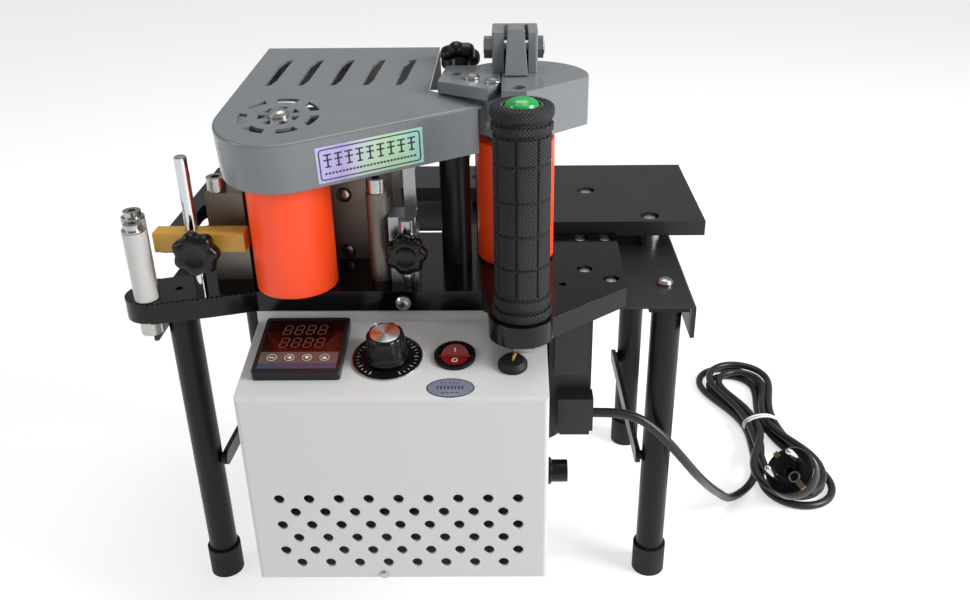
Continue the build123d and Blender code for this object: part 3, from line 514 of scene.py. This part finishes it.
def controller():
    """Face films, digits and key marks of the panel instrument, in plates 0.05 to 1 mm thick."""
    matrix = shift(PANEL, -65.0, 39.5, 5.5)
    half = 21.6
    for name, low, high, under, film in (
            ("instrument_window", -6.6, 21.6, -0.9, window),
            ("instrument_key_strip", -16.2, -6.6, -0.6, strip),
            ("instrument_blue_strip", -20.6, -16.2, -0.6, blue_film)):
        slabs(name, [rectangle(-half, half, low, high)], under, 0.12, matrix, film, "machine")
    slabs("instrument_digits", digits(), 0.12, 0.17, matrix, lit, "machine")
    arrows = {
        2: [(-1.5, 0), (1.0, -1.5), (1.0, 1.5)],
        3: [(0, -1.4), (1.5, 1.1), (-1.5, 1.1)],
        4: [(0, 1.4), (-1.5, -1.1), (1.5, -1.1)],
    }
    for index, name in enumerate(("one", "two", "three", "four")):
        place = shift(PANEL, -79.6 + 9.7 * index, 27.5, 6.05)
        body = "key_" + name
        ring = [(2.75, 0.0), (2.75, 0.06), (2.45, 0.06), (2.45, 0.0)]
        turned(f"key_ring_{index + 1}", ring, place, pale, body, 40)
        shape = arrows.get(index + 1) or rectangle(-1.3, 1.3, -0.35, 0.35)
        slabs(f"key_mark_{index + 1}", [shape], 0.0, 0.06, place, pale, body)


controller()


def rocker_marks():
    """A bar and a ring on the rocker's two halves, which slope 9 degrees either way."""
    matrix = shift(shift(PANEL, 20.6, 34.6, 0), 0, 0, 0, 8.0, "X")
    high = shift(matrix, 0, 0, 1.0, 9.0, "X")
    slabs("rocker_bar", [rectangle(-0.35, 0.35, 2.4, 5.2)], 0.0, 0.14, high, pale, "power_rocker")
    low = shift(matrix, 0, 0, 1.0, -9.0, "X")
    ring = [(1.7, 0.0), (1.7, 0.14), (1.1, 0.14), (1.1, 0.0)]
    turned("rocker_ring", ring, shift(low, 0, -3.9, 0), pale, "power_rocker", 40)


rocker_marks()


def oval_sticker():
    """Oval foil sticker: two ovals, one inside the other, and plain lines in place of print."""
    matrix = shift(PANEL, 19.3, 8.9, 0)
    slabs("sticker_foil", [oval(13.0, 7.6)], 0.02, 0.14, matrix, ink, "machine")
    slabs("sticker_field", [oval(12.3, 6.9)], 0.14, 0.18, matrix, sticker, "machine")
    lines = [rectangle(-7.5 + 1.9 * i, -6.4 + 1.9 * i, -1.0, 1.4) for i in range(8)]
    lines += [rectangle(-5.0 + 2.6 * i, -3.2 + 2.6 * i, -4.4, -3.6) for i in range(4)]
    lines += [rectangle(-5.4 + 2.2 * i, -4.6 + 2.2 * i, 3.4, 4.3) for i in range(5)]
    slabs("sticker_lines", lines, 0.18, 0.21, matrix, ink, "machine")


oval_sticker()


# Thin wire from the grommet up into the stub of the grip
wire("trigger_wire", [(52.8, 23.2, 193.5), (53.0, 24.0, 197.5), (55.0, 29.0, 197.6),
                      (57.4, 33.0, 197.4), (58.0, 34.2, 201.0)], 0.9, yellow,
     rings=4, steps=12, caps=False)

# ---------------------------------------------------------------- cover label


def label_frame(left, right, low, high, radius, width):
    """A line with round corners: four straight bars and six flat pieces round each corner."""
    inner = radius - width
    x0, x1, y0, y1 = left + radius, right - radius, low + radius, high - radius
    lines = [rectangle(x0, x1, high - width, high), rectangle(x0, x1, low, low + width),
             rectangle(left, left + width, y0, y1), rectangle(right - width, right, y0, y1)]
    for x, y, first in ((x1, y1, 0), (x0, y1, 90), (x0, y0, 180), (x1, y0, 270)):
        for k in range(6):
            a, b = radians(first + 15 * k), radians(first + 15 * (k + 1))
            lines.append([(x + r * cos(t), y + r * sin(t))
                          for r, t in ((radius, a), (radius, b), (inner, b), (inner, a))])
    return lines


def cover_label():
    """Film label flat on the straight front of the cover's skirt, which runs 25 degrees off the
    machine's front, with plain bars in place of print."""
    a = radians(25)
    along, out = Vector((cos(a), sin(a), 0)), Vector((sin(a), -cos(a), 0))
    turn = Matrix((along, Vector((0, 0, 1)), out)).transposed().to_4x4()
    matrix = COVER @ Matrix.Translation((-57.42, -1.27, 0)) @ turn
    slabs("label_film", [rectangle(9.6, 68.7, -26.0, -5.0)], 0.05, 0.22, matrix, label_film,
          "machine")
    slabs("label_border", label_frame(11.0, 67.3, -24.6, -6.4, 2.0, 0.8), 0.22, 0.26, matrix,
          blue_film, "machine")
    bars = []
    for i in range(9):
        u = 13.6 + 5.8 * i
        bars += [rectangle(u, u + 4.4, -10.4, -9.5), rectangle(u, u + 4.4, -13.4, -12.5),
                 rectangle(u + 0.6, u + 3.8, -17.4, -16.5),
                 rectangle(u + 1.7, u + 2.7, -17.4, -9.5)]
    bars += [rectangle(13.6 + 1.9 * i, 14.9 + 1.9 * i, -21.4, -20.2) for i in range(27)]
    slabs("label_bars", bars, 0.22, 0.26, matrix, ink, "machine")


cover_label()

# ---------------------------------------------------------------- cord, coil and plug

# Route in millimetres from the gland to the floor and to the tied waist
LEAD = [CORD_START, (130, 66, 133), (152, 60, 112), (170, 68, 84), (187, 92, 54),
        (202, 119, 27), (213, 138, 7.0), (225, 150, 3.2), (237, 162, 3.1), (244, 178, 3.1)]
WAIST, LEAN = (259.0, 234.2), radians(8)
# Each turn: half gap at the waist, loop radius, reach, twist in degrees, height in the loops,
# height at the waist, and height where its lower loop ends
TURNS = [(10.5, 28.5, 102.0, -1.0, 3.1, 5.2, 3.1), (3.8, 22.0, 90.0, -1.0, 3.1, 5.2, 9.6),
         (10.5, 28.0, 99.0, 5.0, 9.2, 11.2, 16.0), (3.8, 21.5, 86.0, 5.0, 9.2, 11.2, None)]
# From the waist to the back of the plug: across, along, height
TAIL = [(-6, -18, 12.5), (-13, -36, 14.5), (-20, -54, 15.5), (-23, -70, 14.5),
        (-19, -84, 11.5), (-10.5, -92, 9.8), (-3.5, -95.4, 12.0), (1.1, -97.2, 15.2)]


def loop(side, radius, reach, heights):
    """One drop-shaped loop: across = -radius cos a, along = side (reach - radius + radius sin a),
    with a running over the loop from its left to its right, or back on the lower side."""
    angles = [radians(192 - 22.7 * i if side > 0 else -12 + 22.7 * i) for i in range(10)]
    far = reach - radius
    return [(-radius * cos(a), side * (far + radius * sin(a)), height)
            for a, height in zip(angles, heights)]


def coil_points():
    """Turns of an upper and a lower loop that meet at the tied waist, then the run to the plug.

    A turn's points are turned by its twist, and the whole by the lean of the waist."""
    path = []
    for turn, after in zip(TURNS, TURNS[1:] + [None]):
        gap, radius, reach, twist, low, high, rise = turn
        path += [(gap, 0, high, 0), (gap + 1.5, 20, high - 0.5, twist)]
        path += [(*point, twist) for point in loop(1, radius, reach, [low] * 10)]
        path += [(-gap - 1.5, 20, high - 0.5, twist), (-gap, 0, high, 0)]
        if after:
            path.append((-gap - 1.5, -20, high - 0.5, twist))
            heights = [low + (rise - low) * max(0, i - 4) / 5 for i in range(10)]
            path += [(*point, twist) for point in loop(-1, radius, reach, heights)]
            path.append((after[0] + 2.5, -20, max(after[5], rise - 2.0), 0))
    path += [(*place, 0) for place in TAIL]
    points = []
    for across, along, height, twist in path:
        t = radians(twist)
        a, b = across * cos(t) - along * sin(t), across * sin(t) + along * cos(t)
        points.append((WAIST[0] - a * cos(LEAN) - b * sin(LEAN),
                       WAIST[1] - a * sin(LEAN) + b * cos(LEAN), height))
    return points


def relaxed(points, spacing=9.0, rounds=3):
    """Points evenly spaced along the route, each moved to (before + 2 own + after) / 4."""
    p = np.array(points, float)
    s = np.concatenate([[0], np.cumsum(np.linalg.norm(np.diff(p, axis=0), axis=1))])
    even = np.linspace(0, s[-1], int(s[-1] / spacing) + 1)
    p = np.stack([np.interp(even, s, p[:, i]) for i in range(3)], axis=1)
    for _ in range(rounds):
        p[1:-1] = (p[:-2] + 2 * p[1:-1] + p[2:]) / 4
    return [tuple(float(v) for v in row) for row in p]


PLUG = axes((251.0, 128.0, 41.5), (-0.6, -0.3, 0.74), (0.73, 0.15, 0.65))


def plug():
    """Round two-pin plug: body, pins and earth socket turned about their axes, side contacts."""
    profile = [(3.05, -36), (4.6, -36), (5.0, -34), (6.4, -28), (8.6, -23), (13.0, -17),
               (16.0, -13), (18.0, -11.0), (18.6, -9.5), (18.6, -1.2), (18.0, -0.3), (17.2, 0),
               (3.3, 0), (2.9, -0.4), (2.9, -6), (0.01, -6)]
    body = turned("plug_body", profile, PLUG, plastic, None, 96)
    pin = [(2.4, 0), (2.4, 17.2), (2.1, 18.6), (1.2, 19.4), (0.01, 19.6)]
    parts = [turned(f"plug_pin_{side + 2}", pin, shift(PLUG, side * 9.5, 0, 0), chrome, None, 32)
             for side in (-1, 1)]
    rim = [(3.2, 0.0), (3.2, 0.5), (4.3, 0.5), (4.3, 0.0)]
    parts.append(turned("plug_socket_ring", rim, shift(PLUG, 0, -7.0, 0), zinc, None, 32))
    strips = [rectangle(-2.0, 2.0, -18.9, -10.5), rectangle(-2.0, 2.0, 14.0, 18.9)]
    parts.append(slabs("plug_side_contacts", strips, -0.2, 0.5, PLUG, brass, None))
    for piece in parts:
        piece.parent = body
    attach(body, "machine")
    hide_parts("plug")
    return body


def twist_tie():
    """White tie of two bands round the waist: point = ((14.4 + 0.9 cos b) cos a,
    -(8.2 + 0.9 cos b) sin a, offset + 0.9 sin b)."""
    matrix = axes((*WAIST, 9.1), (0, 1, 0)) @ Matrix.Rotation(-LEAN, 4, "Y")
    rows, columns = 64, 10
    a, b = np.meshgrid(np.arange(rows) * 2 * pi / rows, np.arange(columns) * 2 * pi / columns,
                       indexing="ij")
    round_wire = 0.9 * np.cos(b)
    bands = []
    for n, offset in enumerate((-1.6, 1.4)):
        points = np.stack([(14.4 + round_wire) * np.cos(a), -(8.2 + round_wire) * np.sin(a),
                           offset + 0.9 * np.sin(b)], axis=-1).reshape(-1, 3)
        bands.append(mesh_object(f"tie_band_{n + 1}", points, grid_faces(rows, columns, True),
                                 matrix, tie_white, None))
    bands[1].parent = bands[0]
    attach(bands[0], "machine")
    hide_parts("cord_tie")
    return bands[0]


def strain_relief():
    """Tapered sleeve over the first 23 mm of the cord, turned about the gland's axis."""
    profile = [(3.1, 0), (5.4, 0), (5.4, 3), (4.9, 4.5), (3.9, 22), (3.2, 23)]
    return turned("strain_relief", profile, axes(CORD_START, (1, 0, 0)), cord_pvc, "machine", 48)


flex = wire("mains_cord", relaxed(LEAD + coil_points()), 3.0, cord_pvc)
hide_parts("cord_lead", "cord_hank")
plug()
twist_tie()
strain_relief()

# ---------------------------------------------------------------- room, lights, camera


def studio():
    """Pale bright floor, an even grey sky and three square lamps, the strongest on the right."""
    pale_floor = material("pale_floor", "#bcbcbc", 0.8, shine=0.1,
                          **{"Emission Color": (1, 1, 1, 1), "Emission Strength": 0.62})
    far = 9000
    corners = [(-far, -far, -0.2), (far, -far, -0.2), (far, far, -0.2), (-far, far, -0.2)]
    floor = mesh_object("floor", corners, [(0, 1, 2, 3)], UPRIGHT, pale_floor, None, False)
    world = bpy.data.worlds.new("surroundings")
    bpy.context.scene.world = world
    world.use_nodes = True
    world.node_tree.nodes["Background"].inputs[0].default_value = (0.97, 0.98, 1.0, 1)
    world.node_tree.nodes["Background"].inputs[1].default_value = 0.36
    lamps = [("window", (1300, -350, 900), 700, 30), ("left", (-1200, -300, 900), 500, 4),
             ("top", (100, 500, 1500), 900, 8)]
    for name, place, size, power in lamps:
        lamp = bpy.data.lights.new(name, "AREA")
        lamp.size = size * MM
        lamp.energy = power
        holder = bpy.data.objects.new(name, lamp)
        holder.location = spot(*place)
        aim = spot(0, 100, 180) - holder.location
        holder.rotation_euler = aim.to_track_quat("-Z", "Y").to_euler()
        bpy.context.scene.collection.objects.link(holder)


def camera():
    """Camera in front, a little right of the middle: forward = (sin yaw cos pitch,
    cos yaw cos pitch, -sin pitch), and the picture is rolled about it."""
    yaw, pitch, roll = -0.008, 0.462, -0.009
    forward = Vector((sin(yaw) * cos(pitch), cos(yaw) * cos(pitch), -sin(pitch)))
    right = Vector((cos(yaw), -sin(yaw), 0))
    up = right.cross(forward)
    across = right * cos(roll) + up * sin(roll)
    upward = up * cos(roll) - right * sin(roll)
    lens = bpy.data.cameras.new("camera")
    lens.lens = 35.42474
    lens.shift_x = -0.0208
    lens.shift_y = -0.0070
    lens.clip_start = 0.02
    holder = bpy.data.objects.new("camera", lens)
    turn = Matrix((across, upward, -forward)).transposed().to_4x4()
    holder.matrix_world = Matrix.Translation(spot(52.6, -430.0, 462.7)) @ turn
    bpy.context.scene.collection.objects.link(holder)
    bpy.context.scene.camera = holder


studio()
camera()
bpy.context.scene.view_settings.view_transform = "Standard"
